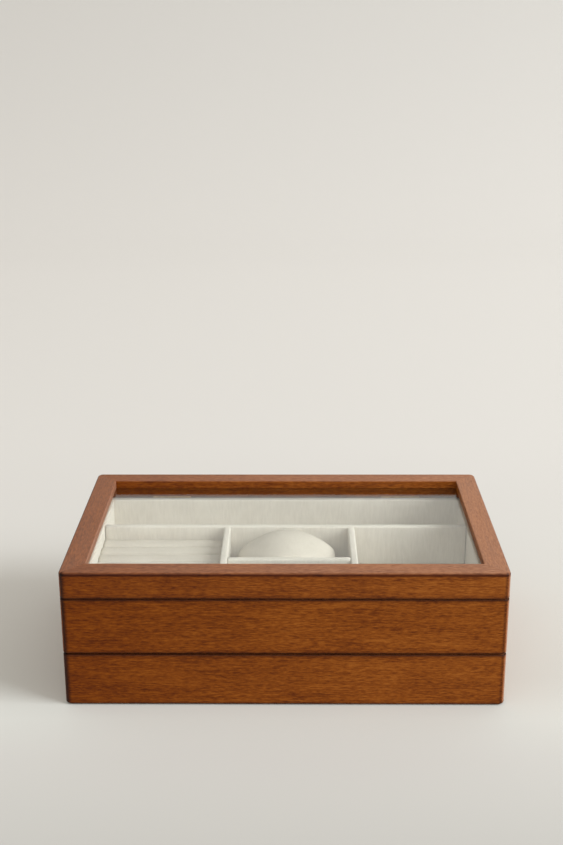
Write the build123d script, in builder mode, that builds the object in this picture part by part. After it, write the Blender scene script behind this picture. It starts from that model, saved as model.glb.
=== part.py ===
"""A wooden jewellery box: glazed hinged lid, fabric-lined tray, and a full-width drawer below.

X runs to the right along the front, Y from the front to the back, and Z up from the surface that
the box stands on. The origin is the middle of the underside.
"""

import os
from math import radians, tan

from build123d import *

os.makedirs("parts", exist_ok=True)

# Outside of the box, in millimetres.
box_length = 280.0
box_depth = 175.0
box_height = 92.0
lid_height = 17.6
lid_seam = 0.4
drawer_front_height = 35.2
drawer_front_lift = 0.6
tier_seam = 0.8
corner_radius = 4.0
top_round = 1.6
edge_ease = 0.6
inner_ease = 0.8
drawer_front_ease = 1.1

# Boards. The walls of the case and the upright webs of the lid's rails share one thickness.
wall_thickness = 7.0
panel_play = 0.1
tray_floor_thickness = 4.0
tray_floor_lip = 3.0
groove_depth = 3.0
base_thickness = 5.0
base_rebate = 4.0

# Glazing of the lid. The rails' wide flat tops reach in over the pane, and beads hold it from below.
rail_width = 15.0
glass_thickness = 2.0
glass_lip = 5.5
glass_play = 0.3
bead_width = 3.0
bead_height = 3.0
bead_play = 0.1

# Lining of the tray.
lining_gap = 0.3
lining_thickness = 5.2
lining_rise = 0.8
pad_thickness = 1.6
wrap_round = 1.1
soft_play = 0.1

# Bays of the tray, from the inside of the lining.
divider_thickness = 4.8
divider_drop = 0.6
left_bay_width = 84.3
middle_bay_width = 82.1
back_bay_depth = 44.6
pillow_bay_depth = 51.2

# Ring rolls.
ring_roll_count = 8
ring_cushion_height = 20.3
ring_roll_crown = 3.0
ring_cushion_play = 0.3

# Watch pillow.
pillow_end_gap = 7.5
pillow_side_gap = 1.4
pillow_shift = -1.6
pillow_headroom = 5.0
pillow_end_draw = 6.5
pillow_side_bulge = 2.2
pillow_cap_length = 2.4
# Parts of the pillow's own height that its forms take up.
pillow_drop_share = 0.35
pillow_foot_share = 0.058
pillow_crown_share = 0.204
pillow_corner_share = 0.105
pillow_cap_share = 0.076

# Hinges. The knuckles lie in the groove between the bevelled back edges, which stop the lid.
opening_angle = 95.0
hinge_inset = 2.0
hinge_end_distance = 55.0
hinge_length = 28.0
leaf_thickness = 1.0
knuckle_radius = 1.6
knuckle_share = 1 / 3
knuckle_gap = 0.2
knuckle_clearance = 0.3
pin_radius = 0.7
pin_head_radius = 1.0
pin_head_length = 0.5
pin_fit = 0.02
pin_running_fit = 0.05
mortise_play = 0.15

# Hinge screws.
screw_spacing = 18.0
screw_radius = 0.6
screw_head_radius = 1.1
countersink_angle = 82.0
screw_length = 7.0
screw_slot_width = 0.3
screw_slot_depth = 0.25
screw_play = 0.04

# Drawer.
drawer_front_thickness = 12.0
drawer_side_play = 0.5
drawer_foot_play = 0.3
drawer_front_gap = 0.4
drawer_back_gap = 1.0
drawer_side_thickness = 8.0
drawer_side_height = 28.0
drawer_back_headroom = 1.0
drawer_joint_depth = 3.0
drawer_bottom_thickness = 3.0
drawer_bottom_lip = 3.0
drawer_lining_drop = 1.5
drawer_divider_drop = 1.0
stop_length = 20.0
stop_depth = 10.0
stop_overlap = 4.0
stop_end_distance = 40.0
stop_front_distance = 26.7

# How far a cut runs past the face that it opens, how far a selection reaches past an edge, and the
# part of a board's thickness that the rounding of its wrapped edge may take up.
overcut = 1.0
pick_margin = 0.1
wrap_round_share = 0.45

# Places worked out from the sizes above.
half_length = box_length / 2
half_depth = box_depth / 2
inner_x = half_length - wall_thickness
inner_y = half_depth - wall_thickness
opening_x = half_length - rail_width
opening_y = half_depth - rail_width
lid_bottom = box_height - lid_height
rim_height = lid_bottom - lid_seam
drawer_front_top = drawer_front_lift + drawer_front_height
front_panel_bottom = drawer_front_top + tier_seam
tray_floor_bottom = front_panel_bottom + tray_floor_lip
tray_floor_top = tray_floor_bottom + tray_floor_thickness
pad_top = tray_floor_top + pad_thickness
lining_top = rim_height + lining_rise
divider_top = lining_top - divider_drop
lining_x = inner_x - lining_gap
lining_y = inner_y - lining_gap
bay_x = lining_x - lining_thickness
bay_y = lining_y - lining_thickness
left_divider_x = -bay_x + left_bay_width + divider_thickness / 2
right_divider_x = left_divider_x + divider_thickness + middle_bay_width
long_divider_y = bay_y - back_bay_depth - divider_thickness / 2
pillow_divider_y = long_divider_y - divider_thickness - pillow_bay_depth
glass_top = box_height - glass_lip
glass_bottom = glass_top - glass_thickness
hinge_y = half_depth - hinge_inset
hinge_z = rim_height + lid_seam / 2
side_end_y = -half_depth + drawer_front_thickness + drawer_front_gap


def keep(piece, name):
    """Label a finished piece and write it to its own file."""
    piece.part.label = name
    export_step(piece.part, f"parts/{name}.step")


def block(low, high, mode=Mode.ADD):
    """A square block between two opposite corners, in the part that is being built."""
    centre = tuple((a + b) / 2 for a, b in zip(low, high))
    with Locations(centre):
        Box(*[b - a for a, b in zip(low, high)], mode=mode)


def rod(start_x, end_x, radius, mode=Mode.ADD):
    """A round bar along the hinge line, in the part that is being built."""
    with Locations(((start_x + end_x) / 2, hinge_y, hinge_z)):
        Cylinder(radius, end_x - start_x, rotation=(0, 90, 0), mode=mode)


def mitre_outline(side, width, depth, reach):
    """Corners of the area that one board of a mitred frame takes up, seen from above."""
    x, y = width / 2, depth / 2
    corners = {
        "front": [(-x, -y), (x, -y), (x - reach, -y + reach), (-x + reach, -y + reach)],
        "back": [(-x, y), (x, y), (x - reach, y - reach), (-x + reach, y - reach)],
        "left": [(-x, -y), (-x, y), (-x + reach, y - reach), (-x + reach, -y + reach)],
        "right": [(x, -y), (x, y), (x - reach, y - reach), (x - reach, -y + reach)],
    }
    return corners[side]


def bevel_outline(edge_z, turn):
    """The wedge along the back edge that a bevel takes off, below the seam or above it."""
    reach = hinge_inset + overcut
    fall = reach * tan(radians(opening_angle / 2))
    return [
        (hinge_y, edge_z),
        (hinge_y + reach, edge_z + turn * fall),
        (hinge_y + reach, edge_z - turn * reach),
        (hinge_y, edge_z - turn * reach),
    ]


hinge_middles = {"left": -half_length + hinge_end_distance, "right": half_length - hinge_end_distance}
leaf_y = inner_y
screw_y = (leaf_y + hinge_y - knuckle_radius - knuckle_clearance) / 2
screw_head_depth = (screw_head_radius - screw_radius) / tan(radians(countersink_angle / 2))
barrel_half = hinge_length / 2 + pin_head_length + knuckle_gap
screw_places = [
    (middle + turn * screw_spacing / 2, screw_y) for middle in hinge_middles.values() for turn in (-1, 1)
]

# The lid's frame is rounded as a whole and then cut at the mitres into its four rails.
with BuildPart() as lid_frame:
    with BuildSketch(Plane.XY.offset(lid_bottom)):
        RectangleRounded(box_length, box_depth, corner_radius)
    extrude(amount=lid_height)
    fillet(lid_frame.edges().group_by(Axis.Z)[-1], top_round)
    fillet(lid_frame.edges().group_by(Axis.Z)[0], edge_ease)
    with BuildSketch(Plane.XY.offset(lid_bottom)):
        Rectangle(2 * opening_x, 2 * opening_y)
    extrude(amount=lid_height, mode=Mode.SUBTRACT)
    top_edges = lid_frame.edges().group_by(Axis.Z)[-1]
    pick_x, pick_y = opening_x + pick_margin, opening_y + pick_margin
    opening_edges = top_edges.filter_by_position(Axis.X, -pick_x, pick_x)
    opening_edges = opening_edges.filter_by_position(Axis.Y, -pick_y, pick_y)
    fillet(opening_edges, inner_ease)
    with BuildSketch(Plane.XY.offset(lid_bottom)):
        Rectangle(2 * inner_x, 2 * inner_y)
    extrude(amount=glass_top - lid_bottom, mode=Mode.SUBTRACT)
    with BuildSketch(Plane.YZ.offset(-half_length)):
        with BuildLine():
            Polyline(*bevel_outline(lid_bottom, 1), close=True)
        make_face()
    extrude(amount=box_length, mode=Mode.SUBTRACT)
    for middle in hinge_middles.values():
        block(
            (middle - hinge_length / 2 - mortise_play, leaf_y - mortise_play, lid_bottom - overcut),
            (middle + hinge_length / 2 + mortise_play, hinge_y + overcut, lid_bottom + leaf_thickness),
            Mode.SUBTRACT,
        )
        rod(middle - barrel_half, middle + barrel_half, knuckle_radius + knuckle_clearance, Mode.SUBTRACT)
    with Locations(*[(x, y, lid_bottom + screw_length / 2) for x, y in screw_places]):
        Cylinder(screw_radius + screw_play, screw_length + screw_play, mode=Mode.SUBTRACT)

rail_reach = rail_width + corner_radius
for side in ("front", "back", "left", "right"):
    with BuildPart() as lid_rail:
        add(lid_frame.part)
        with BuildSketch(Plane.XY.offset(lid_bottom)):
            with BuildLine():
                Polyline(*mitre_outline(side, box_length, box_depth, rail_reach), close=True)
            make_face()
        extrude(amount=lid_height, mode=Mode.INTERSECT)
    keep(lid_rail, f"lid_{side}_rail")

with BuildPart() as lid_glass:
    with BuildSketch(Plane.XY.offset(glass_bottom)):
        Rectangle(2 * (inner_x - glass_play), 2 * (inner_y - glass_play))
    extrude(amount=glass_thickness)
keep(lid_glass, "lid_glass")

# Glazing beads run round the inside of the webs and bear on the pane from below.
bead_length = 2 * (inner_x - bead_play)
bead_depth = 2 * (inner_y - bead_play)
for side in ("front", "back", "left", "right"):
    with BuildPart() as bead:
        with BuildSketch(Plane.XY.offset(glass_bottom - bead_height)):
            Rectangle(bead_length, bead_depth)
            Rectangle(bead_length - 2 * bead_width, bead_depth - 2 * bead_width, mode=Mode.SUBTRACT)
        extrude(amount=bead_height)
        with BuildSketch(Plane.XY.offset(glass_bottom - bead_height)):
            with BuildLine():
                Polyline(*mitre_outline(side, bead_length, bead_depth, 2 * bead_width), close=True)
            make_face()
        extrude(amount=bead_height, mode=Mode.INTERSECT)
    keep(bead, f"lid_{side}_bead")

# The case's walls are shaped as one ring and then cut at the mitres. The drawer's front takes the
# place of the lower part of the ring's front, in front of the ends of the two sides.
with BuildPart() as case_walls:
    with BuildSketch():
        RectangleRounded(box_length, box_depth, corner_radius)
    extrude(amount=rim_height)
    fillet(case_walls.edges().group_by(Axis.Z)[-1], edge_ease)
    fillet(case_walls.edges().group_by(Axis.Z)[0], edge_ease)
    with BuildSketch():
        Rectangle(2 * inner_x, 2 * inner_y)
    extrude(amount=rim_height, mode=Mode.SUBTRACT)
    block(
        (-half_length - overcut, -half_depth - overcut, -overcut),
        (half_length + overcut, side_end_y, front_panel_bottom),
        Mode.SUBTRACT,
    )
    panel_edges = case_walls.edges().filter_by_position(Axis.Z, front_panel_bottom, front_panel_bottom)
    panel_edges = panel_edges.filter_by_position(Axis.Y, -half_depth - pick_margin, -half_depth + pick_margin)
    fillet(panel_edges, edge_ease)
    with BuildSketch(Plane.XY.offset(tray_floor_bottom - panel_play / 2)):
        Rectangle(2 * (inner_x + groove_depth), 2 * (inner_y + groove_depth))
    extrude(amount=tray_floor_thickness + panel_play, mode=Mode.SUBTRACT)
    block(
        (-inner_x - base_rebate, -half_depth, -overcut),
        (inner_x + base_rebate, inner_y + base_rebate, base_thickness),
        Mode.SUBTRACT,
    )
    with BuildSketch(Plane.YZ.offset(-half_length)):
        with BuildLine():
            Polyline(*bevel_outline(rim_height, -1), close=True)
        make_face()
    extrude(amount=box_length, mode=Mode.SUBTRACT)
    for middle in hinge_middles.values():
        block(
            (middle - hinge_length / 2 - mortise_play, leaf_y - mortise_play, rim_height - leaf_thickness),
            (middle + hinge_length / 2 + mortise_play, hinge_y + overcut, rim_height + overcut),
            Mode.SUBTRACT,
        )
        rod(middle - barrel_half, middle + barrel_half, knuckle_radius + knuckle_clearance, Mode.SUBTRACT)
    with Locations(*[(x, y, rim_height - screw_length / 2) for x, y in screw_places]):
        Cylinder(screw_radius + screw_play, screw_length + screw_play, mode=Mode.SUBTRACT)

wall_reach = wall_thickness + corner_radius
wall_names = {"front": "front_panel", "back": "back_board", "left": "left_side", "right": "right_side"}
for side, name in wall_names.items():
    with BuildPart() as wall:
        add(case_walls.part)
        with BuildSketch():
            with BuildLine():
                Polyline(*mitre_outline(side, box_length, box_depth, wall_reach), close=True)
            make_face()
        extrude(amount=rim_height, mode=Mode.INTERSECT)
    keep(wall, name)

with BuildPart() as tray_floor:
    with BuildSketch(Plane.XY.offset(tray_floor_bottom)):
        Rectangle(
            2 * (inner_x + groove_depth - panel_play),
            2 * (inner_y + groove_depth - panel_play),
        )
    extrude(amount=tray_floor_thickness)
keep(tray_floor, "tray_floor")

with BuildPart() as base_panel:
    block(
        (-inner_x - base_rebate + panel_play, side_end_y, 0),
        (inner_x + base_rebate - panel_play, inner_y + base_rebate - panel_play, base_thickness),
    )
keep(base_panel, "base_panel")

# Two blocks under the tray's floor catch the drawer's high back board when the drawer is out.
drawer_back_y = inner_y - drawer_back_gap
drawer_back_front_y = drawer_back_y - drawer_side_thickness
drawer_back_top = tray_floor_bottom - drawer_back_headroom
stop_front_y = -inner_y + stop_front_distance
with BuildPart() as drawer_stops:
    for stop_x in (-half_length + stop_end_distance, half_length - stop_end_distance):
        block(
            (stop_x - stop_length / 2, stop_front_y, drawer_back_top - stop_overlap),
            (stop_x + stop_length / 2, stop_front_y + stop_depth, tray_floor_bottom),
        )
keep(drawer_stops, "drawer_stops")


def wrapped_board(low, high):
    """A card or board wrapped in fabric, with its top edges softened by the wrap."""
    with BuildPart() as board:
        block(low, high)
        thinnest = min(b - a for a, b in zip(low, high))
        fillet(board.edges().group_by(Axis.Z)[-1], min(wrap_round, wrap_round_share * thinnest))
    return board


# Lining boards of the tray stand on its floor; the floor pad lies between them.
linings = {
    "tray_liner_front": ((-lining_x, -lining_y), (lining_x, -bay_y)),
    "tray_liner_back": ((-lining_x, bay_y), (lining_x, lining_y)),
    "tray_liner_left": ((-lining_x, -bay_y + soft_play), (-bay_x, bay_y - soft_play)),
    "tray_liner_right": ((bay_x, -bay_y + soft_play), (lining_x, bay_y - soft_play)),
}
for name, (low, high) in linings.items():
    keep(wrapped_board((*low, tray_floor_top), (*high, lining_top)), name)

with BuildPart() as tray_floor_pad:
    block(
        (-bay_x + soft_play, -bay_y + soft_play, tray_floor_top),
        (bay_x - soft_play, bay_y - soft_play, pad_top),
    )
keep(tray_floor_pad, "tray_floor_pad")

# Dividers stand on the pad, their tops a little lower than the lining's.
half_divider = divider_thickness / 2
dividers = {
    "long_divider": (
        (-bay_x + soft_play, long_divider_y - half_divider),
        (bay_x - soft_play, long_divider_y + half_divider),
    ),
    "left_cross_divider": (
        (left_divider_x - half_divider, -bay_y + soft_play),
        (left_divider_x + half_divider, long_divider_y - half_divider - soft_play),
    ),
    "right_cross_divider": (
        (right_divider_x - half_divider, -bay_y + soft_play),
        (right_divider_x + half_divider, long_divider_y - half_divider - soft_play),
    ),
    "pillow_divider": (
        (left_divider_x + half_divider + soft_play, pillow_divider_y - half_divider),
        (right_divider_x - half_divider - soft_play, pillow_divider_y + half_divider),
    ),
}
for name, (low, high) in dividers.items():
    keep(wrapped_board((*low, pad_top), (*high, divider_top)), name)

# Ring cushion: a foam block with rolls along X, drawn down between them.
ring_left = -bay_x + ring_cushion_play
ring_right = left_divider_x - half_divider - ring_cushion_play
ring_front = -bay_y + ring_cushion_play
ring_back = long_divider_y - half_divider - ring_cushion_play
roll_pitch = (ring_back - ring_front) / ring_roll_count
roll_valley = pad_top + ring_cushion_height - ring_roll_crown
with BuildPart() as ring_cushion:
    with BuildSketch(Plane.YZ.offset(ring_left)):
        with BuildLine():
            Polyline(
                (ring_back, roll_valley),
                (ring_back, pad_top),
                (ring_front, pad_top),
                (ring_front, roll_valley),
            )
            for index in range(ring_roll_count):
                start = ring_front + index * roll_pitch
                ThreePointArc(
                    (start, roll_valley),
                    (start + roll_pitch / 2, roll_valley + ring_roll_crown),
                    (start + roll_pitch, roll_valley),
                )
        make_face()
    extrude(amount=ring_right - ring_left)
keep(ring_cushion, "ring_cushion")

# Watch pillow: crowned on top, its sides drawn in and its back falling towards the two ends.
pillow_bottom = pad_top
pillow_top = glass_bottom - pillow_headroom
pillow_height = pillow_top - pillow_bottom
pillow_end_drop = pillow_drop_share * pillow_height
pillow_foot_lift = pillow_foot_share * pillow_height
pillow_crown = pillow_crown_share * pillow_height
pillow_corner = pillow_corner_share * pillow_height
pillow_cap_inset = pillow_cap_share * pillow_height
pillow_half_length = middle_bay_width / 2 - pillow_end_gap
pillow_half_depth = pillow_bay_depth / 2 - pillow_side_gap
pillow_x = (left_divider_x + right_divider_x) / 2 + pillow_shift
pillow_y = (long_divider_y + pillow_divider_y) / 2


def pillow_section(along, drop, draw, lift):
    """The pillow's outline across X: flat foot, bulging sides, crowned top and soft corners."""
    side = pillow_half_depth - draw - pillow_side_bulge
    foot = pillow_bottom + lift
    shoulder = pillow_top - drop - pillow_crown
    middle = (foot + shoulder) / 2
    with BuildSketch(Plane.YZ.offset(pillow_x + along)) as section:
        with BuildLine():
            Line((pillow_y + side, foot), (pillow_y - side, foot))
            ThreePointArc(
                (pillow_y - side, foot),
                (pillow_y - side - pillow_side_bulge, middle),
                (pillow_y - side, shoulder),
            )
            ThreePointArc(
                (pillow_y - side, shoulder),
                (pillow_y, shoulder + pillow_crown),
                (pillow_y + side, shoulder),
            )
            ThreePointArc(
                (pillow_y + side, shoulder),
                (pillow_y + side + pillow_side_bulge, middle),
                (pillow_y + side, foot),
            )
        make_face()
        fillet(section.vertices(), pillow_corner)
    return section.sketch


body_end = pillow_half_length - pillow_cap_length
cap_station = (
    pillow_end_drop + pillow_cap_inset,
    pillow_end_draw + pillow_cap_inset,
    pillow_foot_lift + pillow_cap_inset,
)
end_station = (pillow_end_drop, pillow_end_draw, pillow_foot_lift)
halfway = 1 / 2
halfway_station = (
    pillow_end_drop * halfway**2,
    pillow_end_draw * halfway**2,
    pillow_foot_lift * halfway**4,
)
pillow_stations = [
    (-pillow_half_length, *cap_station),
    (-body_end, *end_station),
    (-body_end * halfway, *halfway_station),
    (0, 0, 0, 0),
    (body_end * halfway, *halfway_station),
    (body_end, *end_station),
    (pillow_half_length, *cap_station),
]
pillow_sections = [pillow_section(*station) for station in pillow_stations]
with BuildPart() as watch_pillow:
    loft(sections=pillow_sections)
keep(watch_pillow, "watch_pillow")

# Hinges: each leaf lies flush in its mortise, and its knuckles run round the pin.
knuckle_end = hinge_length * knuckle_share / 2
hole_radius = screw_radius + screw_play
sink_radius = screw_head_radius + screw_play
for side, middle in hinge_middles.items():
    start, end = middle - hinge_length / 2, middle + hinge_length / 2
    with BuildPart() as case_leaf:
        block((start, leaf_y, rim_height - leaf_thickness), (end, hinge_y, rim_height))
        rod(middle - knuckle_end - knuckle_gap, middle + knuckle_end + knuckle_gap,
            knuckle_radius + knuckle_clearance, Mode.SUBTRACT)
        rod(start, middle - knuckle_end - knuckle_gap, knuckle_radius)
        rod(middle + knuckle_end + knuckle_gap, end, knuckle_radius)
        rod(start, end, pin_radius + pin_fit, Mode.SUBTRACT)
        with Locations(Plane.XY.offset(rim_height)):
            with Locations((middle - screw_spacing / 2, screw_y), (middle + screw_spacing / 2, screw_y)):
                CounterSinkHole(hole_radius, sink_radius, leaf_thickness, countersink_angle)
    keep(case_leaf, f"{side}_hinge_case_leaf")
    with BuildPart() as lid_leaf:
        block((start, leaf_y, lid_bottom), (end, hinge_y, lid_bottom + leaf_thickness))
        rod(start, middle - knuckle_end, knuckle_radius + knuckle_clearance, Mode.SUBTRACT)
        rod(middle + knuckle_end, end, knuckle_radius + knuckle_clearance, Mode.SUBTRACT)
        rod(middle - knuckle_end, middle + knuckle_end, knuckle_radius)
        rod(start, end, pin_radius + pin_running_fit, Mode.SUBTRACT)
        with Locations(Plane.XY.offset(lid_bottom).rotated((180, 0, 0))):
            with Locations((middle - screw_spacing / 2, -screw_y), (middle + screw_spacing / 2, -screw_y)):
                CounterSinkHole(hole_radius, sink_radius, leaf_thickness, countersink_angle)
    keep(lid_leaf, f"{side}_hinge_lid_leaf")
    with BuildPart() as hinge_pin:
        rod(start, end, pin_radius)
        rod(start - pin_head_length, start, pin_head_radius)
        rod(end, end + pin_head_length, pin_head_radius)
    keep(hinge_pin, f"{side}_hinge_pin")


def hinge_screws(face_z, turn):
    """Slotted countersunk screws of the hinge leaves on one side of the seam."""
    with BuildPart() as screws:
        for x, y in screw_places:
            with Locations((x, y, face_z + turn * screw_length / 2)):
                Cylinder(screw_radius, screw_length)
            with Locations((x, y, face_z + turn * screw_head_depth / 2)):
                Cone(
                    screw_head_radius if turn < 0 else screw_radius,
                    screw_radius if turn < 0 else screw_head_radius,
                    screw_head_depth,
                    rotation=(180, 0, 0),
                )
            block(
                (x - screw_head_radius, y - screw_slot_width / 2, face_z - screw_slot_depth),
                (x + screw_head_radius, y + screw_slot_width / 2, face_z + screw_slot_depth),
                Mode.SUBTRACT,
            )
    return screws


keep(hinge_screws(rim_height, -1), "case_hinge_screws")
keep(hinge_screws(lid_bottom, 1), "lid_hinge_screws")

# Drawer: the front overlaps the ends of the case's sides; the other boards slide between them.
drawer_x = inner_x - drawer_side_play
drawer_inner_x = drawer_x - drawer_side_thickness
drawer_front_back_y = -half_depth + drawer_front_thickness
drawer_foot = base_thickness + drawer_foot_play
drawer_side_top = drawer_foot + drawer_side_height
drawer_bottom_low = drawer_foot + drawer_bottom_lip
drawer_bottom_top = drawer_bottom_low + drawer_bottom_thickness
drawer_bottom_x = drawer_inner_x + drawer_joint_depth
drawer_bottom_y = drawer_back_front_y + drawer_joint_depth


def drawer_bottom_block(play, mode):
    """The drawer's bottom panel, or the groove for it with play all round."""
    front_y = drawer_front_back_y - drawer_joint_depth
    block(
        (-drawer_bottom_x - play, front_y - play, drawer_bottom_low - play / 2),
        (drawer_bottom_x + play, drawer_bottom_y + play, drawer_bottom_top + play / 2),
        mode,
    )


with BuildPart() as drawer_front:
    with BuildSketch(Plane.XY.offset(drawer_front_lift)):
        with Locations((0, -half_depth + drawer_front_thickness / 2)):
            front_outline = Rectangle(box_length, drawer_front_thickness)
        fillet(front_outline.vertices().group_by(Axis.Y)[0], corner_radius)
    extrude(amount=drawer_front_height)
    for level in (0, -1):
        face_edges = drawer_front.edges().group_by(Axis.Z)[level]
        front_y, back_y = -half_depth - pick_margin, drawer_front_back_y - pick_margin
        fillet(face_edges.filter_by_position(Axis.Y, front_y, back_y), drawer_front_ease)
    for turn in (-1, 1):
        near, far = sorted((turn * (drawer_inner_x - panel_play), turn * (drawer_x + panel_play)))
        block(
            (near, drawer_front_back_y - drawer_joint_depth - panel_play, drawer_foot - panel_play),
            (far, drawer_front_back_y + overcut, drawer_side_top + panel_play),
            Mode.SUBTRACT,
        )
    drawer_bottom_block(panel_play, Mode.SUBTRACT)
keep(drawer_front, "drawer_front")

for side, turn in (("left", -1), ("right", 1)):
    near, far = sorted((turn * drawer_inner_x, turn * drawer_x))
    slot_depth = drawer_inner_x + drawer_joint_depth + panel_play
    slot_near, slot_far = sorted((turn * (drawer_inner_x - overcut), turn * slot_depth))
    with BuildPart() as drawer_side:
        block(
            (near, drawer_front_back_y - drawer_joint_depth, drawer_foot),
            (far, drawer_back_y, drawer_side_top),
        )
        drawer_bottom_block(panel_play, Mode.SUBTRACT)
        block(
            (slot_near, drawer_back_front_y - panel_play, drawer_foot - overcut),
            (slot_far, drawer_back_y + overcut, drawer_side_top + overcut),
            Mode.SUBTRACT,
        )
    keep(drawer_side, f"drawer_{side}_side")

with BuildPart() as drawer_back:
    block(
        (-drawer_inner_x - drawer_joint_depth, drawer_back_front_y, drawer_foot),
        (drawer_inner_x + drawer_joint_depth, drawer_back_y, drawer_back_top),
    )
    drawer_bottom_block(panel_play, Mode.SUBTRACT)
keep(drawer_back, "drawer_back")

with BuildPart() as drawer_bottom:
    drawer_bottom_block(0, Mode.ADD)
keep(drawer_bottom, "drawer_bottom")

# Lining of the drawer: a floor pad, four wall cards and two dividers in line with the tray's.
drawer_pad_top = drawer_bottom_top + pad_thickness
drawer_lining_top = drawer_side_top - drawer_lining_drop
room_x = drawer_inner_x - soft_play
room_front = drawer_front_back_y + soft_play
room_back = drawer_back_front_y - soft_play
with BuildPart() as drawer_floor_pad:
    block((-room_x, room_front, drawer_bottom_top), (room_x, room_back, drawer_pad_top))
keep(drawer_floor_pad, "drawer_floor_pad")

drawer_linings = {
    "drawer_lining_front": ((-room_x, room_front), (room_x, room_front + pad_thickness)),
    "drawer_lining_back": ((-room_x, room_back - pad_thickness), (room_x, room_back)),
    "drawer_lining_left": (
        (-room_x, room_front + pad_thickness + soft_play),
        (-room_x + pad_thickness, room_back - pad_thickness - soft_play),
    ),
    "drawer_lining_right": (
        (room_x - pad_thickness, room_front + pad_thickness + soft_play),
        (room_x, room_back - pad_thickness - soft_play),
    ),
}
for name, (low, high) in drawer_linings.items():
    keep(wrapped_board((*low, drawer_pad_top), (*high, drawer_lining_top)), name)

for side, x in (("left", left_divider_x), ("right", right_divider_x)):
    low = (x - half_divider, room_front + pad_thickness + soft_play, drawer_pad_top)
    high = (x + half_divider, room_back - pad_thickness - soft_play, drawer_lining_top - drawer_divider_drop)
    keep(wrapped_board(low, high), f"drawer_{side}_divider")
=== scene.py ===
"""A wooden jewellery box with a glazed lid, a lined tray and a drawer, dressed around its CAD frame.

X runs to the right along the front, Y from the front to the back, and Z up from the floor. Lengths
are in metres.
"""

import math

import bmesh
import bpy
from mathutils import Matrix, Vector, noise


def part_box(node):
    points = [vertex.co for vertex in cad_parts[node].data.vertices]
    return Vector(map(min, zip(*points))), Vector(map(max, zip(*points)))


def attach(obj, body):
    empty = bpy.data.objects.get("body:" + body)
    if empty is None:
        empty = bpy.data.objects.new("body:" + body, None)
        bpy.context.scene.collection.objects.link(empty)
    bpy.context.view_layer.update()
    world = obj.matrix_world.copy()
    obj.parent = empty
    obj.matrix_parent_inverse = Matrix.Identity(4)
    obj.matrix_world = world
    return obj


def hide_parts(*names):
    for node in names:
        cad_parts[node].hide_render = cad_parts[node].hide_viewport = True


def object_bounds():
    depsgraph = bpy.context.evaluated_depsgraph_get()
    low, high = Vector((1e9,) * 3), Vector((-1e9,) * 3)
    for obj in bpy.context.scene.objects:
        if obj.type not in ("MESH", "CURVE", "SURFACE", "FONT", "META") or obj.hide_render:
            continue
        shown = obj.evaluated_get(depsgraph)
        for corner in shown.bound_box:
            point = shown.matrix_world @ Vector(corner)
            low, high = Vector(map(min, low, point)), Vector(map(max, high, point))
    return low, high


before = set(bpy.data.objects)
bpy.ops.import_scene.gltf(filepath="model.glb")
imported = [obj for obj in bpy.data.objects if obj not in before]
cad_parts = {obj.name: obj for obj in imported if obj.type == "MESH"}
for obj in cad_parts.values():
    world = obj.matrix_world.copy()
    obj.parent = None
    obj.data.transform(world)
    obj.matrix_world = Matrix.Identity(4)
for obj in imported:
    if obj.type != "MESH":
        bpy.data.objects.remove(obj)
cad_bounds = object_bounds()

# The camera stands in front of the box and looks down on it, as in the photograph. Its lens
# belongs to a picture 36 mm high.
camera_place = Vector((0.00603, -0.80025, 0.4237))
camera_lens = 54.04
picture_height = 36.0
camera_turn = math.radians(0.592)
camera_fall = math.radians(18.167)
camera_tilt = math.radians(-0.199)

camera = bpy.data.objects.new("camera", bpy.data.cameras.new("camera"))
camera.data.sensor_fit = "VERTICAL"
camera.data.sensor_height = picture_height
camera.data.lens = camera_lens
turned = Matrix.Rotation(camera_turn, 4, "Z") @ Matrix.Rotation(math.pi / 2 - camera_fall, 4, "X")
camera.matrix_world = Matrix.Translation(camera_place) @ turned @ Matrix.Rotation(camera_tilt, 4, "Z")
bpy.context.scene.collection.objects.link(camera)
bpy.context.scene.camera = camera
bpy.context.scene.view_settings.view_transform = "Standard"


# The lid's frame: four mitred rails of an open-pored hardwood, stained brown and finished with a
# satin varnish. The edges are darker, with dark stain and painted shade. The rails are the CAD ones.
class Value:
    """One output of a node. Arithmetic on it adds Math nodes."""

    def __init__(self, look, socket):
        self.look = look
        self.socket = socket

    def beside(self, name):
        """Another output of the same node."""
        return Value(self.look, self.socket.node.outputs[name])

    def maths(self, operation, *other, clamp=False):
        """A Math node that takes this value first."""
        numbers = dict(zip(("Value", "Value_001"), (self, *other)))
        return self.look.node("ShaderNodeMath", {"operation": operation, "use_clamp": clamp}, numbers)

    def flipped(self, operation, other):
        """A Math node that takes this value second."""
        numbers = {"Value": other, "Value_001": self}
        return self.look.node("ShaderNodeMath", {"operation": operation}, numbers)

    def __add__(self, other):
        return self.maths("ADD", other)

    def __radd__(self, other):
        return self.flipped("ADD", other)

    def __sub__(self, other):
        return self.maths("SUBTRACT", other)

    def __rsub__(self, other):
        return self.flipped("SUBTRACT", other)

    def __mul__(self, other):
        return self.maths("MULTIPLY", other)

    def __rmul__(self, other):
        return self.flipped("MULTIPLY", other)

    def __truediv__(self, other):
        return self.maths("DIVIDE", other)

    def __rtruediv__(self, other):
        return self.flipped("DIVIDE", other)

    def __pow__(self, other):
        return self.maths("POWER", other)

    def __rpow__(self, other):
        return self.flipped("POWER", other)

    def __abs__(self):
        return self.maths("ABSOLUTE")

    def at_least(self, other):
        """The larger of the two."""
        return self.maths("MAXIMUM", other)

    def clamped(self):
        """Held between 0 and 1."""
        return self.maths("ADD", 0.0, clamp=True)

    def within(self, low, high):
        """0 at low and below, 1 at high and above, and straight between them."""
        return ((self - low) / (high - low)).clamped()

    def line(self, middle, half, core=1.3):
        """1 close to the middle, and down to 0 at half a width from it."""
        return (core - abs(self - middle) / half * core).clamped()


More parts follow.
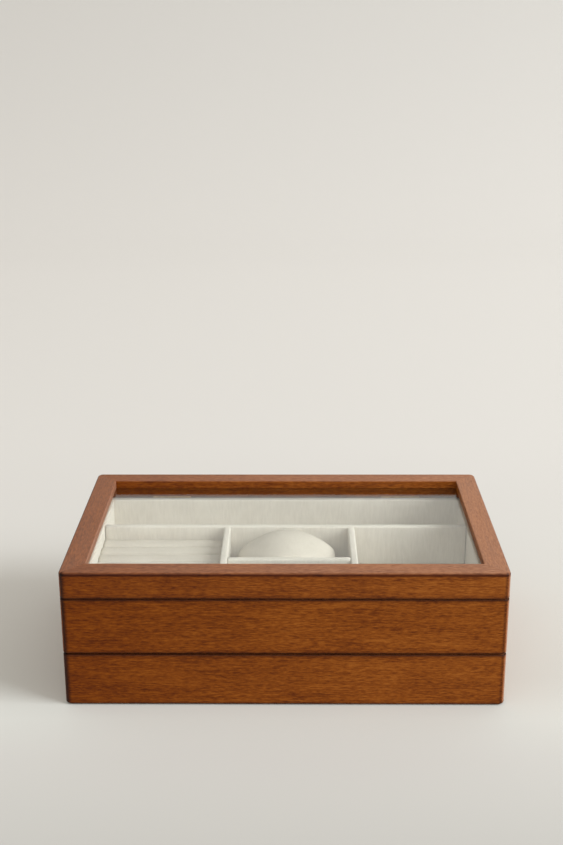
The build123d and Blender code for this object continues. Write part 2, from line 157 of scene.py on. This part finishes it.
class Look:
    """The nodes of one material, or of the world."""

    def __init__(self, owner):
        owner.use_nodes = True
        self.owner = owner
        self.tree = owner.node_tree
        self.tree.nodes.clear()

    def node(self, kind, settings=None, inputs=None, output=0):
        """A new node with its settings made first and its sockets filled or linked after."""
        made = self.tree.nodes.new(kind)
        for key, value in (settings or {}).items():
            if key == "stops":
                self.set_stops(made.color_ramp, value)
            else:
                setattr(made, key, value)
        for key, value in (inputs or {}).items():
            socket = next(s for s in made.inputs if s.identifier == key)
            if isinstance(value, Value):
                self.tree.links.new(value.socket, socket)
            else:
                socket.default_value = value
        if not made.outputs:
            return made
        if isinstance(output, str):
            output = [socket.identifier for socket in made.outputs].index(output)
        return Value(self, made.outputs[output])

    @staticmethod
    def set_stops(ramp, stops):
        """Give a ramp its (position, colour) stops."""
        ramp.elements.remove(ramp.elements[-1])
        ramp.elements[0].position, ramp.elements[0].color = stops[0]
        for position, colour in stops[1:]:
            ramp.elements.new(position).color = colour

    def ramp(self, share, stops):
        """The colour of a ramp at a share of its length."""
        return self.node("ShaderNodeValToRGB", {"stops": stops}, {"Fac": share}, "Color")

    def mix(self, share, first, second, kind="MIX"):
        """Two colours mixed by a share."""
        settings = {"data_type": "RGBA", "blend_type": kind}
        colours = {"Factor_Float": share, "A_Color": first, "B_Color": second}
        return self.node("ShaderNodeMix", settings, colours, "Result_Color")

    def darken(self, share, colour, by):
        """A colour multiplied by a darker one, by a share."""
        return self.mix(share, colour, by, "MULTIPLY")

    def axes(self, kind):
        """The three parts of the place or of the normal."""
        vector = self.node("ShaderNodeTexCoord", output=kind)
        first = self.node("ShaderNodeSeparateXYZ", inputs={"Vector": vector}, output="X")
        return first, first.beside("Y"), first.beside("Z")

    def speckle(self, place, sizes, detail=2.0, roughness=0.5):
        """Noise between 0 and 1 whose marks have these sizes along the three parts of the place."""
        scaled = [part / size for part, size in zip(place, sizes)]
        point = self.node("ShaderNodeCombineXYZ", inputs=dict(zip("XYZ", scaled)))
        inputs = {"Vector": point, "Scale": 1.0, "Detail": detail, "Roughness": roughness}
        return self.node("ShaderNodeTexNoise", inputs=inputs)

    def surface(self, **inputs):
        """Close the material with one Principled shader."""
        named = {key.replace("_", " "): value for key, value in inputs.items()}
        shader = self.node("ShaderNodeBsdfPrincipled", inputs=named)
        self.node("ShaderNodeOutputMaterial", inputs={"Surface": shader})

    def bump(self, height, strength, distance):
        """A normal roughened by a height."""
        inputs = {"Height": height, "Strength": strength, "Distance": distance}
        return self.node("ShaderNodeBump", inputs=inputs)


# The grain's marks: their length along the board, width and height, then the detail and the
# roughness of their noise.
band_marks = ((0.045, 0.0032, 0.0032), 3.0, 0.6)
fibre_marks = ((0.0045, 0.0008, 0.0008), 3.0, 0.65)
thread_marks = ((0.03, 0.001, 0.001), 1.0, 0.5)
blotch_marks = ((0.05, 0.02, 0.02), 2.0, 0.5)
pore_marks = ((0.005, 0.0004, 0.0004), 1.0, 0.5)
pore_patches = ((0.03, 0.005, 0.005), 2.0, 0.5)
# Patches that make the edges' dark stain and painted shade uneven.
edge_dark_patches = ((0.03, 0.01, 0.01), 2.0, 0.5)
sway_sizes = (0.05, 0.02, 0.02)
sway_reach = 0.003
noise_mean = 0.5

# How much each kind of mark counts in the tone, and the tones at which the three colours stand.
band_weight = 0.17
fibre_weight = 0.57
thread_weight = 0.17
blotch_weight = 0.14
tone_shift = 0.035
tone_places = (0.44, 0.57, 0.72)
stain = ((0.125, 0.026, 0.0022, 1), (0.25, 0.066, 0.0055, 1), (0.375, 0.12, 0.0165, 1))

# Painted shade: the stain is darker and redder towards the left end, where the varnish's sheen from the light
# at the right fades, with some real unevenness of the stain as well.
leftward_shade_colour = (0.64, 0.5, 0.02, 1)
leftward_shade_share = 0.9
leftward_shade_curve = 1.6

# Painted sheen: faces that look up are painted paler, more so to the right, and the rounded right
# corners carry a painted highlight. The sheen is streaked by the fibres, and hides the pores.
painted_sheen_colour = (0.55, 0.325, 0.22, 1)
sheen_facing = (0.2, 0.95)
sheen_to_right = 3.0
sheen_streaks = {"X": 2.4, "Y": 1.0}
corner_starts = (0.6, 0.82)
corner_ends = (0.9, 0.98)
corner_drop = 0.4
corner_highlight = 0.5
pore_dark = (0.42, 0.32, 0.26, 1)
pore_limits = (0.56, 0.7)
patch_limits = (0.36, 0.6)
pore_share = 0.8
pore_hiding = 1.8

# Dark stain and painted shade along a board's low and high edge, where the tiers meet, with a darker
# core at the very edge. Painted shade on the rounded left end of the boards along X, away from the
# light, and a painted dark line on their rounded right corners. Level faces are left clear of it.
edge_stain_and_shade = (0.3, 0.23, 0.22, 1)
edge_band = 0.003
edge_facing = (0.998, 0.97)
edge_core = (0.62, 0.92)
edge_core_share = 0.95
edge_share = 0.85
edge_dark_least = 0.4
edge_dark_spread = 0.8
left_band = 0.005
left_facing = (-0.98, -0.75)
left_share = 1.3
left_core = (0.2, 0.65)
left_core_share = 0.9
right_facing = 0.35
right_half = 0.325
right_share = 0.75

# A dark line just under the lid's rounded top edge, on the outer faces only: partly stain, partly painted
# shade on the lower half of the rounding.
line_stain_and_shade = (0.27, 0.15, 0.05, 1)
line_depth = 0.0014
line_half = 0.0015
line_inset = 0.0012
line_fade = 0.0004
line_share = 0.95

# The varnish's gloss and the relief of the grain under it.
wood_rough = 0.42
fibre_rough = 0.12
pore_rough = 0.15
band_relief = 0.2
fibre_relief = 0.3
relief_strength = 0.25
relief_height = 0.00012
wood_specular = 0.09
coat_rough = 0.3
thin_coat = 0.04
lid_coat = 0.1

half_length = cad_bounds[1][0]
half_depth = cad_bounds[1][1]


class Board(Look):
    """The wood of one board. Its grain runs along X or Y, and starts at its own cut of the log."""

    def __init__(self, name, along, cut):
        super().__init__(bpy.data.materials.new(name))
        self.along = along
        self.x, self.y, self.z = self.axes("Object")
        self.facing_right, _, self.facing_up = self.axes("Normal")
        run, across = (self.x, self.y) if along == "X" else (self.y, self.x)
        sway = self.speckle((run + cut * sway_sizes[0], across, self.z), sway_sizes) - noise_mean
        self.grain = (run + cut, across + sway * sway_reach, self.z + sway * sway_reach)
        self.bands = self.speckle(self.grain, *band_marks)
        self.fibres = self.speckle(self.grain, *fibre_marks)
        patches = self.speckle(self.grain, *pore_patches).within(*patch_limits)
        self.pores = self.speckle(self.grain, *pore_marks).within(*pore_limits) * patches

    def toned(self, tones):
        """The grain in three tones, from its dark streaks to its light ones."""
        threads = self.speckle(self.grain, *thread_marks)
        blotches = self.speckle(self.grain, *blotch_marks)
        streaks = self.bands * band_weight + self.fibres * fibre_weight + threads * thread_weight
        return self.ramp(streaks + blotches * blotch_weight + tone_shift, list(zip(tone_places, tones)))

    def shaded_leftward(self, colour):
        """The stain painted darker and redder towards the left: painted shade, with some real unevenness."""
        leftward = ((half_length - self.x) / (2 * half_length)) ** leftward_shade_curve
        return self.darken(leftward * leftward_shade_share, colour, leftward_shade_colour)

    def sheen_painted(self, colour, painted_sheen):
        """Painted sheen on faces that look up, and a painted highlight on rounded right corners."""
        top = self.facing_up.within(*sheen_facing) * painted_sheen * (1 + self.x * sheen_to_right)
        corner = self.facing_right.within(*corner_starts)
        corner = corner - self.facing_right.within(*corner_ends) * corner_drop
        streaks = (self.fibres - noise_mean) * sheen_streaks[self.along] + 1
        return self.mix(top.at_least(corner * corner_highlight) * streaks, colour, painted_sheen_colour)

    def pored(self, colour, painted_sheen=0.0):
        """Dark open pores."""
        return self.darken(self.pores * (pore_share - painted_sheen * pore_hiding), colour, pore_dark)

    def edged(self, colour, low, high):
        """Dark stain and painted shade along the low and high edge, and painted shade at the ends of a board
        along X.
        """
        near_low = (low + edge_band - self.z) / edge_band
        near_high = (self.z - high + edge_band) / edge_band
        near_edge = near_low.at_least(near_high) * abs(self.facing_up).within(*edge_facing)
        colour = self.darken(near_edge.within(*edge_core) * edge_core_share, colour, edge_stain_and_shade)
        edge_darkness = near_edge * edge_share
        if self.along == "X":
            left_end_shade = (-half_length + left_band - self.x) / left_band
            left_end_shade = left_end_shade * self.facing_right.within(*left_facing)
            right_corner_shade = self.facing_right.line(right_facing, right_half)
            edge_darkness = edge_darkness.at_least(left_end_shade * left_share)
            colour = self.darken(right_corner_shade * right_share, colour, edge_stain_and_shade)
            colour = self.darken(left_end_shade.within(*left_core) * left_core_share, colour, edge_stain_and_shade)
        uneven = self.speckle(self.grain, *edge_dark_patches) * edge_dark_spread + edge_dark_least
        return self.darken((edge_darkness * uneven).clamped(), colour, edge_stain_and_shade)

    def lined(self, colour, height):
        """A dark line round the outer faces at one height: stain and painted shade."""
        outer_x = abs(self.x) - (half_length - line_inset)
        outer_y = abs(self.y) - (half_depth - line_inset)
        outside = outer_x.at_least(outer_y).within(0.0, line_fade)
        return self.darken(self.z.line(height, line_half) * outside * line_share, colour, line_stain_and_shade)

    def varnished(self, colour, coat):
        """Close the material with a satin varnish over the open grain."""
        rough = wood_rough + self.fibres * fibre_rough + self.pores * pore_rough
        ridges = self.bands * band_relief + self.fibres * fibre_relief - self.pores
        relief = self.bump(ridges, relief_strength, relief_height)
        gloss = {"Specular_IOR_Level": wood_specular, "Coat_Weight": coat, "Coat_Roughness": coat_rough}
        self.surface(Base_Color=colour, Roughness=rough, Normal=relief, **gloss)
        return self.owner


def stained_wood(name, along, cut, edges=None, top_line=None, coat=thin_coat, painted_sheen=0.0):
    """Stained and varnished wood for one board, with the heights of its edges and of its top line."""
    board = Board(name, along, cut)
    colour = board.shaded_leftward(board.toned(stain))
    if painted_sheen:
        colour = board.sheen_painted(colour, painted_sheen)
    colour = board.pored(colour, painted_sheen)
    if edges is not None:
        colour = board.edged(colour, *edges)
    if top_line is not None:
        colour = board.lined(colour, top_line)
    return board.varnished(colour, coat)


def dress(node, material):
    """Give a CAD node its finish."""
    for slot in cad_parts[node].material_slots:
        slot.material = material


# Each rail's grain, the painted sheen on its top and its cut of the log. The top edge is rounded, so
# the dark stain and painted shade stay at the low one.
rails = {
    "front": ("X", 0.26, 1.7),
    "back": ("X", 0.26, 4.8),
    "left": ("Y", 0.36, 7.9),
    "right": ("Y", 0.29, 11.0),
}
no_high_edge = 1.0
lid_low, lid_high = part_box("lid_front_rail")
lid_edges = (lid_low.z, no_high_edge)
top_line = lid_high.z - line_depth
for side, (along, painted_sheen, cut) in rails.items():
    wood = stained_wood(f"stained_wood_lid_{side}", along, cut, lid_edges, top_line, lid_coat, painted_sheen)
    dress(f"lid_{side}_rail", wood)


# The glazing beads: thin strips of the same stained wood, mitred and pinned to the webs below the pane.
beads = {"front": ("X", 21.3), "back": ("X", 23.6), "left": ("Y", 25.9), "right": ("Y", 28.2)}
for side, (along, cut) in beads.items():
    dress(f"lid_{side}_bead", stained_wood(f"stained_wood_bead_{side}", along, cut))


# The pane: 2 mm of clear glass, held under the rails' tops by the beads. It lets the lamps through.
glass_tint = (0.97, 0.985, 0.975, 1)
glass_shadow_tint = (0.94, 0.955, 0.945, 1)
glass_ior = 1.5
glass_specular = 0.2


def clear_glass(name):
    """Clear glass that casts next to no shadow."""
    look = Look(bpy.data.materials.new(name))
    clearness = {"Base Color": glass_tint, "Transmission Weight": 1.0}
    gloss = {"Roughness": 0.0, "IOR": glass_ior, "Specular IOR Level": glass_specular}
    glass = look.node("ShaderNodeBsdfPrincipled", inputs={**clearness, **gloss})
    clear = look.node("ShaderNodeBsdfTransparent", inputs={"Color": glass_shadow_tint})
    lamp_ray = look.node("ShaderNodeLightPath", output="Is Shadow Ray")
    through = look.node("ShaderNodeMixShader", inputs={"Fac": lamp_ray, "Shader": glass, "Shader_001": clear})
    look.node("ShaderNodeOutputMaterial", inputs={"Surface": through})
    return look.owner


dress("lid_glass", clear_glass("clear_glass"))


# The case: front panel, two sides and back board, mitred at the corners, in the same stained wood.
# How strongly the upward faces of the case and the drawer front are painted with sheen.
case_sheen = 0.1
walls = {
    "front_panel": ("X", 9.4),
    "back_board": ("X", 12.2),
    "left_side": ("Y", 15.0),
    "right_side": ("Y", 17.8),
}
# The walls' edges take dark stain and painted shade where the tiers meet.
for node, (along, cut) in walls.items():
    low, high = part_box(node)
    dress(node, stained_wood(f"stained_wood_{node}", along, cut, (low.z, high.z), painted_sheen=case_sheen))


# The tray's floor and the box's bottom are plywood panels in grooves, and two glued blocks under
# the tray's floor stop the drawer. They are sanded and left without stain.
plain_tones = ((0.26, 0.15, 0.07, 1), (0.42, 0.27, 0.145, 1), (0.55, 0.38, 0.22, 1))
sanded_sheen = 0.05


def plain_wood(name, along, cut):
    """Sanded wood without stain, for one board."""
    board = Board(name, along, cut)
    return board.varnished(board.pored(board.toned(plain_tones)), sanded_sheen)


for node, cut in {"tray_floor": 31.0, "base_panel": 35.7, "drawer_stops": 40.4}.items():
    dress(node, plain_wood(f"plain_wood_{node}", "X", cut))


# The hinges: brass leaves let into the lid and the back board and screwed down, with knuckles round
# a thin brass pin. The brass is brushed along the leaf and a little dulled.
brush_sizes = (0.004, 0.00012, 0.00012)
tarnish_marks = ((0.003, 0.003, 0.003), 3.0, 0.6)
brass_stops = [(0.35, (0.36, 0.22, 0.08, 1)), (0.6, (0.66, 0.45, 0.19, 1))]
brass_rough = 0.26
brush_rough = 0.2
brush_strength = 0.15
brush_depth = 0.00005


def brushed_brass(name):
    """Brass with fine brush marks along X and patches of tarnish."""
    look = Look(bpy.data.materials.new(name))
    place = look.axes("Object")
    brushing = look.speckle(place, brush_sizes)
    colour = look.ramp(look.speckle(place, *tarnish_marks), brass_stops)
    relief = look.bump(brushing, brush_strength, brush_depth)
    rough = brass_rough + brushing * brush_rough
    look.surface(Base_Color=colour, Metallic=1.0, Roughness=rough, Normal=relief)
    return look.owner


brass = brushed_brass("brushed_brass")
for node in ("hinge_case_leaf", "hinge_lid_leaf", "hinge_pin"):
    dress(f"left_{node}", brass)
    dress(f"right_{node}", brass)
dress("case_hinge_screws", brass)
dress("lid_hinge_screws", brass)


# The tray's lining: boards wrapped in an off-white woven cloth over thin wadding. They stand on the
# tray's floor against the walls, and their tops rise a little into the lid.
cloth_tones = ((0.65, 0.6, 0.52, 1), (0.762, 0.71, 0.625, 1))
cloth_places = (0.34, 0.61)
thread = 0.00045
nap_marks = ((0.0006, 0.0006, 0.0006), 3.0, 0.6)
slub_marks = ((0.0011, 0.0011, 0.008), 1.0, 0.5)
soil_marks = ((0.02, 0.02, 0.02), 2.0, 0.5)
nap_weight = 0.35
slub_weight = 0.4
soil_weight = 0.35
weave_weight = 0.1
cloth_shift = 0.05

# Painted shade: faces that look up or to the right, towards the light, are painted darker.
cloth_shade_colour = (0.5, 0.49, 0.47, 1)
cloth_shade_facing = (0.3, 1.0)
cloth_shade_share = 0.22
weave_relief = 0.5
cloth_strength = 0.35
cloth_depth = 0.00015
cloth_rough = 0.92
cloth_specular = 0.2

# A wrapped board's edge radius, the size of its faces, how far they dent and the size of a dent.
wrap_radius = 0.0012
wrap_step = 0.004
wrap_dent = 0.0001
edge_shares = (0.0, 0.25, 0.6, 1.0)
dent_size = 0.013
dent_threshold = 0.6


def lining_cloth(name, tones):
    """Off-white cloth: a fine weave under a short nap, seen the same from every side, with painted shade on
    faces that look up or to the right.
    """
    look = Look(bpy.data.materials.new(name))
    place = look.axes("Object")
    nx, ny, nz = look.axes("Normal")
    sx, sy, sz = [(part * (2 * math.pi / thread)).maths("SINE") for part in place]
    weave = nx * nx * sy * sz + ny * ny * sx * sz + nz * nz * sx * sy
    nap = look.speckle(place, *nap_marks)
    slubs = look.speckle(place, *slub_marks)
    soil = look.speckle(place, *soil_marks)
    tone = nap * nap_weight + slubs * slub_weight + soil * soil_weight + weave * weave_weight - cloth_shift
    colour = look.ramp(tone, list(zip(cloth_places, tones)))
    facing_light = nz.within(*cloth_shade_facing).at_least(nx.within(*cloth_shade_facing))
    colour = look.darken(facing_light * cloth_shade_share, colour, cloth_shade_colour)
    relief = look.bump(weave * weave_relief + nap, cloth_strength, cloth_depth)
    look.surface(Base_Color=colour, Roughness=cloth_rough, Normal=relief, Specular_IOR_Level=cloth_specular)
    return look.owner


cloth = lining_cloth("lining_cloth", cloth_tones)


def made_piece(name, mesh, material):
    """An object in the scene from a finished bmesh."""
    data = bpy.data.meshes.new(name)
    mesh.to_mesh(data)
    mesh.free()
    data.materials.append(material)
    piece = bpy.data.objects.new(name, data)
    bpy.context.scene.collection.objects.link(piece)
    return piece


def stand_for(piece, node, body):
    """Let a piece of padded cloth take the place of its CAD node."""
    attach(piece, body)
    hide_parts(node)


def stations(low, high, radius, step):
    """Places from low to high: close together where the edges round, then a step apart."""
    edge = [share * radius for share in edge_shares]
    count = max(1, round((high - low - 2 * radius) / step))
    middle = [low + radius + (high - low - 2 * radius) * i / count for i in range(1, count)]
    return [low + e for e in edge] + middle + [high - e for e in reversed(edge)]


def soft_block(name, low, high, radius, step, dent, seed):
    """A closed block of cloth with rounded edges and gently dented faces, between two corners."""
    places = [stations(low[i], high[i], radius, step) for i in range(3)]
    inner_low = Vector([v + radius for v in low])
    inner_high = Vector([v - radius for v in high])
    mesh = bmesh.new()
    found = {}

    def corner(i, j, k):
        if (i, j, k) not in found:
            point = Vector((places[0][i], places[1][j], places[2][k]))
            core = Vector([min(max(p, a), b) for p, a, b in zip(point, inner_low, inner_high)])
            out = (point - core).normalized()
            depth = dent * (noise.noise(point / dent_size + Vector((seed, 0, 0))) - dent_threshold)
            found[i, j, k] = mesh.verts.new(core + out * (radius + min(depth, 0.0)))
        return found[i, j, k]

    last = [len(p) - 1 for p in places]
    for axis in range(3):
        a, b = (axis + 1) % 3, (axis + 2) % 3
        for end in (0, last[axis]):
            for m in range(last[a]):
                for n in range(last[b]):
                    ring = []
                    for da, db in ((0, 0), (1, 0), (1, 1), (0, 1)):
                        index = [0, 0, 0]
                        index[axis], index[a], index[b] = end, m + da, n + db
                        ring.append(corner(*index))
                    mesh.faces.new(ring if end else list(reversed(ring))).smooth = True
    return made_piece(name, mesh, cloth)


def wrapped_board(node, body, seed):
    """A board wrapped in cloth, in the place of its CAD node."""
    piece = soft_block(f"{node}_cloth", *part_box(node), wrap_radius, wrap_step, wrap_dent, seed)
    stand_for(piece, node, body)


wrapped_board("tray_liner_front", "case", 0.0)
wrapped_board("tray_liner_back", "case", 5.0)
wrapped_board("tray_liner_left", "case", 10.0)
wrapped_board("tray_liner_right", "case", 15.0)


# The tray's floor pad: card and thin wadding under the same cloth, laid between the lining boards.
card_radius = 0.0007
card_step = 0.005
card_dent = 0.0003


def thin_card(node, body, seed):
    """A thin padded card wrapped in cloth, in the place of its CAD node."""
    piece = soft_block(f"{node}_cloth", *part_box(node), card_radius, card_step, card_dent, seed)
    stand_for(piece, node, body)


thin_card("tray_floor_pad", "case", 40.0)


# The tray's dividers: boards wrapped in the same cloth, a little lower than the lining. They stand on
# the pad.
wrapped_board("long_divider", "case", 50.0)
wrapped_board("left_cross_divider", "case", 55.0)
wrapped_board("right_cross_divider", "case", 60.0)
wrapped_board("pillow_divider", "case", 65.0)


# The ring cushion: eight foam rolls in one cloth, drawn down between them so that rings are held
# in the slits. It fills the left bay and presses on the lining there.
# The cushions' cloth is warmer than the lining and painted darker: partly its own tone, partly painted shade
# on their lit tops.
cushion_shaded_tones = ((0.58, 0.525, 0.442, 1), (0.69, 0.63, 0.54, 1))
roll_count = 8
roll_crown = 0.003
roll_arch = 2.4
slit_depth = 0.002
slit_share = 0.9
roll_steps = 16
roll_length_steps = 60
roll_end_round = 0.0007
roll_press = 0.00025
roll_dent = 0.0004
roll_dent_length = 0.018
roll_dent_shift = 3.7
shaded_cushion_cloth = lining_cloth("shaded_cushion_cloth", cushion_shaded_tones)


def roll_height(share):
    """Height over the valley at a share of a roll's width: an arch between two narrow slits."""
    side = abs(2 * share - 1)
    arch = roll_crown * math.sqrt(max(0.0, 1 - side ** roll_arch))
    slit = slit_depth * max(0.0, (side - slit_share) / (1 - slit_share))
    return arch - slit


def end_drop(inset):
    """How far the rolls round down at a distance from their end."""
    if inset >= roll_end_round:
        return 0.0
    return roll_end_round - math.sqrt(roll_end_round ** 2 - (roll_end_round - inset) ** 2)


def ring_rolls(node, body):
    """The cushion's rolls as one closed mesh, in the place of its CAD node."""
    low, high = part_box(node)
    low.x -= roll_press
    valley = high.z - roll_crown
    rows = roll_count * roll_steps
    mesh = bmesh.new()
    top = []
    for i in range(roll_length_steps + 1):
        x = low.x + (high.x - low.x) * i / roll_length_steps
        drop = end_drop(min(x - low.x, high.x - x))
        line = []
        for j in range(rows + 1):
            y = low.y + (high.y - low.y) * j / rows
            roll, step = divmod(j, roll_steps)
            share = step / roll_steps
            dent = roll_dent * noise.noise(Vector((x / roll_dent_length, roll * roll_dent_shift, 0)))
            z = valley + roll_height(share) + min(dent, 0.0) * math.sin(math.pi * share) - drop
            line.append(mesh.verts.new((x, y, z)))
        top.append(line)
    for i in range(roll_length_steps):
        for j in range(rows):
            mesh.faces.new((top[i][j], top[i + 1][j], top[i + 1][j + 1], top[i][j + 1])).smooth = True
    rim = [line[0] for line in top] + top[-1][1:]
    rim += [line[-1] for line in reversed(top[:-1])] + top[0][-2:0:-1]
    foot = [mesh.verts.new((v.co.x, v.co.y, low.z)) for v in rim]
    for i, v in enumerate(rim):
        j = (i + 1) % len(rim)
        mesh.faces.new((v, foot[i], foot[j], rim[j]))
    mesh.faces.new(list(reversed(foot)))
    stand_for(made_piece("ring_rolls", mesh, shaded_cushion_cloth), node, body)


ring_rolls("ring_cushion", "case")


# The watch pillow: a soft stuffed cushion that a watch is strapped round. It is sewn from the same
# cloth, and its shape comes from a cloth simulation with air in it. Its left end sags a little.
pillow_voxel = 0.0018
pillow_start_scale = 0.95
pillow_pressure = 4.0
pillow_frames = 20
pillow_cap = 0.0022
pillow_slump = 0.002
pillow_smoothing = 0.5
pillow_smooth_rounds = 4


def modified(piece, kind, **settings):
    """Add one modifier to a piece and apply it."""
    modifier = piece.modifiers.new(kind.lower(), kind)
    for key, value in settings.items():
        setattr(modifier, key, value)
    with bpy.context.temp_override(object=piece, active_object=piece):
        bpy.ops.object.modifier_apply(modifier=modifier.name)


def swell(piece):
    """Let the cloth swell under pressure, and keep each point near its start."""
    start = [v.co.copy() for v in piece.data.vertices]
    cloth_modifier = piece.modifiers.new("stuffing", "CLOTH")
    cloth_modifier.settings.use_pressure = True
    cloth_modifier.settings.uniform_pressure_force = pillow_pressure
    cloth_modifier.settings.effector_weights.gravity = 0
    scene = bpy.context.scene
    for step in range(1, pillow_frames + 1):
        scene.frame_set(step)
    shaped = piece.evaluated_get(bpy.context.evaluated_depsgraph_get())
    points = [v.co.copy() for v in shaped.data.vertices]
    piece.modifiers.remove(cloth_modifier)
    scene.frame_set(1)
    for vertex, old, new in zip(piece.data.vertices, start, points):
        move = new - old
        vertex.co = old + move * min(1.0, pillow_cap / max(move.length, pillow_cap))


def watch_pillow(node, body):
    """The stuffed pillow, in the place of its CAD node."""
    low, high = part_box(node)
    centre = (low + high) / 2
    piece = bpy.data.objects.new("stuffed_pillow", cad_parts[node].data.copy())
    bpy.context.scene.collection.objects.link(piece)
    piece.data.materials.clear()
    shrink = Matrix.Diagonal((pillow_start_scale,) * 3).to_4x4()
    piece.data.transform(Matrix.Translation(centre) @ shrink @ Matrix.Translation(-centre))
    modified(piece, "REMESH", mode="VOXEL", voxel_size=pillow_voxel)
    swell(piece)
    modified(piece, "SMOOTH", factor=pillow_smoothing, iterations=pillow_smooth_rounds)
    modified(piece, "SUBSURF", levels=1)
    for polygon in piece.data.polygons:
        polygon.use_smooth = True
    points = [v.co for v in piece.data.vertices]
    for point in points:
        leftward = max(0.0, (centre.x - point.x) / (centre.x - low.x))
        point.z -= pillow_slump * leftward ** 2 * (point.z - low.z) / (high.z - low.z)
    new_low = Vector([min(p[i] for p in points) for i in range(3)])
    new_high = Vector([max(p[i] for p in points) for i in range(3)])
    fit = Matrix.Diagonal([(high[i] - low[i]) / (new_high[i] - new_low[i]) for i in range(3)]).to_4x4()
    piece.data.transform(Matrix.Translation(low) @ fit @ Matrix.Translation(-new_low))
    piece.data.materials.append(shaded_cushion_cloth)
    stand_for(piece, node, body)


watch_pillow("watch_pillow", "case")


# The drawer: a stained front that covers the ends of the case's sides, and a plain wood box behind
# it with grooved sides, back and bottom. The front has no knob: it is drawn out by its edges.
front_cut = 43.7
low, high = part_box("drawer_front")
front_edges = (low.z, high.z)
# The front takes the case's painted sheen and its edges' dark stain and painted shade.
dress("drawer_front", stained_wood("stained_wood_drawer_front", "X", front_cut, front_edges, painted_sheen=case_sheen))
drawer_boards = {
    "left_side": ("Y", 51.0),
    "right_side": ("Y", 53.9),
    "back": ("X", 56.8),
    "bottom": ("X", 59.7),
}
for node, (along, cut) in drawer_boards.items():
    dress(f"drawer_{node}", plain_wood(f"plain_wood_drawer_{node}", along, cut))


# The drawer's lining: a floor pad, four thin wrapped cards on the walls and two dividers.
thin_card("drawer_floor_pad", "drawer", 90.0)
thin_card("drawer_lining_front", "drawer", 100.0)
thin_card("drawer_lining_back", "drawer", 105.0)
thin_card("drawer_lining_left", "drawer", 110.0)
thin_card("drawer_lining_right", "drawer", 115.0)
wrapped_board("drawer_left_divider", "drawer", 130.0)
wrapped_board("drawer_right_divider", "drawer", 135.0)


# The floor and the backdrop: one sheet of pale paper that curves up behind the box. Its tone changes
# from the front of the floor to the back, as painted light and shade: darker towards the camera and up
# the wall, a painted bright strip just in front of the box, and painted shade under and beside it.
sweep_half_width = 3.0
sweep_front = -3.0
sweep_bend_start = 1.5
sweep_bend_radius = 0.9
sweep_top = 2.4
sweep_bend_steps = 48
sweep_bend_margin = 0.02
paper_rough = 0.95
paper_specular = 0.2
paper_low = -0.25
paper_high = 2.4
paper_light_and_shade_stops = [
    (0.0, (0.55, 0.555, 0.535, 1)),
    (0.038, (0.645, 0.65, 0.63, 1)),
    (0.055, (0.705, 0.725, 0.698, 1)),
    (0.075, (0.67, 0.685, 0.655, 1)),
    (0.1, (0.69, 0.7, 0.67, 1)),
    (0.2, (0.71, 0.707, 0.687, 1)),
    (0.25, (0.73, 0.727, 0.707, 1)),
    (0.58, (0.767, 0.762, 0.742, 1)),
    (0.66, (0.766, 0.761, 0.741, 1)),
    (1.0, (0.61, 0.606, 0.587, 1)),
]


def pale_paper(name):
    """Matt paper whose tone follows Y, with painted light and shade."""
    look = Look(bpy.data.materials.new(name))
    back = look.axes("Object")[1]
    colour = look.ramp(back.within(paper_low, paper_high), paper_light_and_shade_stops)
    look.surface(Base_Color=colour, Roughness=paper_rough, Specular_IOR_Level=paper_specular)
    return look.owner


def paper_sweep():
    """A floor, a curve and a wall in one strip."""
    profile = [(sweep_front, 0.0), (sweep_bend_start - sweep_bend_margin, 0.0), (sweep_bend_start, 0.0)]
    for i in range(1, sweep_bend_steps + 1):
        angle = math.pi / 2 * i / sweep_bend_steps
        y = sweep_bend_start + sweep_bend_radius * math.sin(angle)
        profile.append((y, sweep_bend_radius * (1 - math.cos(angle))))
    profile.append((sweep_bend_start + sweep_bend_radius, sweep_top))
    mesh = bmesh.new()
    rows = [[mesh.verts.new((x, y, z)) for x in (-sweep_half_width, sweep_half_width)] for y, z in profile]
    for first, second in zip(rows, rows[1:]):
        mesh.faces.new((first[0], first[1], second[1], second[0])).smooth = True
    made_piece("paper_sweep", mesh, pale_paper("pale_paper"))


paper_sweep()


# The light: a large softbox to the right and a little in front, a weak one behind the camera, and
# pale light from all round. The camera, glass and gloss see a paler room than the one that lights.
lamp_colour = (0.96, 0.98, 1.0)
key_towards = Vector((1.0, -0.33, 0.675))
key_distance = 5.5
key_size = 2.75
key_power = 228.0
front_towards = Vector((-0.05, -1.0, 0.7))
front_distance = 4.5
front_size = 2.5
front_power = 20.0
fill_colour = (1.0, 0.93, 0.845, 1)
fill_strength = 0.68
room_colour = (0.76, 0.74, 0.7, 1)


def softbox(name, towards, distance, size, power):
    """A square lamp that faces the box from one side."""
    lamp = bpy.data.objects.new(name, bpy.data.lights.new(name, "AREA"))
    lamp.data.size = size
    lamp.data.energy = power
    lamp.data.color = lamp_colour
    lamp.location = towards.normalized() * distance
    lamp.rotation_euler = towards.to_track_quat("Z", "Y").to_euler()
    bpy.context.scene.collection.objects.link(lamp)


softbox("key_softbox", key_towards, key_distance, key_size, key_power)
softbox("front_softbox", front_towards, front_distance, front_size, front_power)

room = Look(bpy.data.worlds.new("room"))
bpy.context.scene.world = room.owner
camera_ray = room.node("ShaderNodeLightPath", output="Is Camera Ray")
seen = (camera_ray + camera_ray.beside("Is Glossy Ray") + camera_ray.beside("Is Transmission Ray")).clamped()
fill = room.node("ShaderNodeBackground", inputs={"Color": fill_colour, "Strength": fill_strength})
pale = room.node("ShaderNodeBackground", inputs={"Color": room_colour, "Strength": 1.0})
air = room.node("ShaderNodeMixShader", inputs={"Fac": seen, "Shader": fill, "Shader_001": pale})
room.node("ShaderNodeOutputWorld", inputs={"Surface": air})
